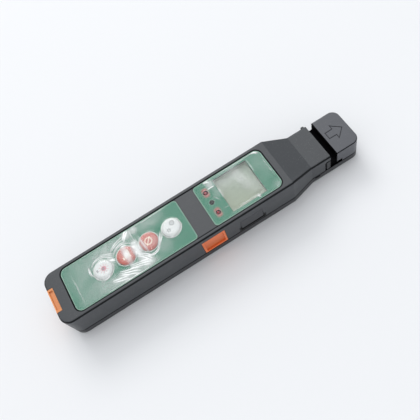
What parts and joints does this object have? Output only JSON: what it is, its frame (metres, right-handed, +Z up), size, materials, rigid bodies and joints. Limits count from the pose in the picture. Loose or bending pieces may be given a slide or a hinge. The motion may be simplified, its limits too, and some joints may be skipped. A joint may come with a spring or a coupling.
{
  "type": "optical fibre identifier with visual fault locator",
  "caption": "Hand-held fibre tester: a bar with a fibre slot and spring-loaded jaw at one end, a laser port behind a cover at the other, round keys and a display on top.",
  "frame": {"origin": "centre of the bounding box's underside, on the surface the tester lies on", "axes": "+X from the laser port at the tail to the hook at the head, +Z up through the keys, -Y the wall with the side key"},
  "size_m": [0.2, 0.0344, 0.0256],
  "materials": {
    "case_plastic": "fine texture",
    "jaw_plastic": "satin",
    "anvil_plastic": "matte",
    "orange_plastic": "satin",
    "flap_rubber": "matte",
    "label_sheet": "satin",
    "clear_film": "gloss",
    "window_clear": "gloss",
    "display_glass": "gloss",
    "white_key": "satin",
    "red_key": "satin",
    "lamp_red": "gloss",
    "lamp_dark": "gloss",
    "board_green": "gloss",
    "black_plastic": "satin",
    "lead_red": "satin",
    "plate_silver": "satin",
    "flex_amber": "gloss",
    "steel": "brushed",
    "brass": "satin",
    "cell_wrap": "gloss",
    "door_plastic": "fine texture"
  },
  "bodies": {
    "housing": {"upper_shell": "case_plastic", "lower_shell": "case_plastic", "head_cap": "case_plastic", "slot_block": "anvil_plastic", "anvil_block": "anvil_plastic", "photodiode_left": "black_plastic", "photodiode_right": "black_plastic", "detector_board": "board_green", "detector_flex": "flex_amber", "keypad_label": "label_sheet", "display_label": "label_sheet", "keypad_film": "clear_film", "display_film": "clear_film", "display_window": "window_clear", "display_frame": "black_plastic", "display_panel": "display_glass", "main_board": "board_green", "board_screws": "steel", "tact_switches": "black_plastic", "processor": "black_plastic", "sounder": "black_plastic", "laser_leads": "lead_red", "rating_plate": "plate_silver", "service_socket": "steel", "cell_left": "cell_wrap", "cell_right": "cell_wrap", "contact_plates": "steel", "cell_springs": "steel", "port_sleeve": "steel", "laser_module": "brass", "cover_pin": "steel", "return_spring": "steel", "case_screws": "steel", "lamp_left": "lamp_red", "lamp_tone": "lamp_dark", "lamp_right": "lamp_red"},
    "battery_door": {"battery_door": "door_plastic"},
    "port_cover": {"port_cover": "orange_plastic"},
    "port_flap": {"port_flap": "flap_rubber"},
    "trigger": {"trigger_key": "orange_plastic"},
    "jaw": {"jaw_block": "jaw_plastic", "push_rod": "steel", "follower": "jaw_plastic"},
    "key_laser": {"key_laser": "white_key"},
    "key_tone": {"key_tone": "red_key"},
    "key_zero": {"key_zero": "red_key"},
    "key_power": {"key_power": "white_key"}
  },
  "joints": [
    {"name": "trigger_press", "type": "slide", "parent": "housing", "child": "trigger", "axis": [0, 1, 0], "range_m": [0, 0.003], "stiffness_N_per_m": 300, "springref_m": -0.002},
    {"name": "jaw_slide", "type": "slide", "parent": "housing", "child": "jaw", "axis": [1, 0, 0], "range_m": [0, 0.00405], "stiffness_N_per_m": 300, "springref_m": -0.002, "deforming": ["return_spring"]},
    {"name": "key_laser_press", "type": "slide", "parent": "housing", "child": "key_laser", "axis": [0, 0, -1], "range_m": [0, 0.0004], "stiffness_N_per_m": 1500, "springref_m": -0.0002},
    {"name": "key_tone_press", "type": "slide", "parent": "housing", "child": "key_tone", "axis": [0, 0, -1], "range_m": [0, 0.0004], "stiffness_N_per_m": 1500, "springref_m": -0.0002},
    {"name": "key_zero_press", "type": "slide", "parent": "housing", "child": "key_zero", "axis": [0, 0, -1], "range_m": [0, 0.0004], "stiffness_N_per_m": 1500, "springref_m": -0.0002},
    {"name": "key_power_press", "type": "slide", "parent": "housing", "child": "key_power", "axis": [0, 0, -1], "range_m": [0, 0.0004], "stiffness_N_per_m": 1500, "springref_m": -0.0002},
    {"name": "cover_hinge", "type": "hinge", "parent": "housing", "child": "port_cover", "pos_m": [-0.09815, 0, 0.00885], "axis": [0, -1, 0], "range_deg": [0, 90]},
    {"name": "flap_hinge", "type": "hinge", "parent": "housing", "child": "port_flap", "pos_m": [0.0214, -0.01655, 0.0171], "axis": [-1, 0, 0], "range_deg": [0, 95]},
    {"name": "door_hinge", "type": "hinge", "parent": "housing", "child": "battery_door", "pos_m": [-0.0269, 0, 0.0011], "axis": [0, -1, 0], "range_deg": [0, 85]}
  ],
  "couplings": [
    {"joint": "jaw_slide", "follows": "trigger_press", "ratio": 1.35}
  ]
}
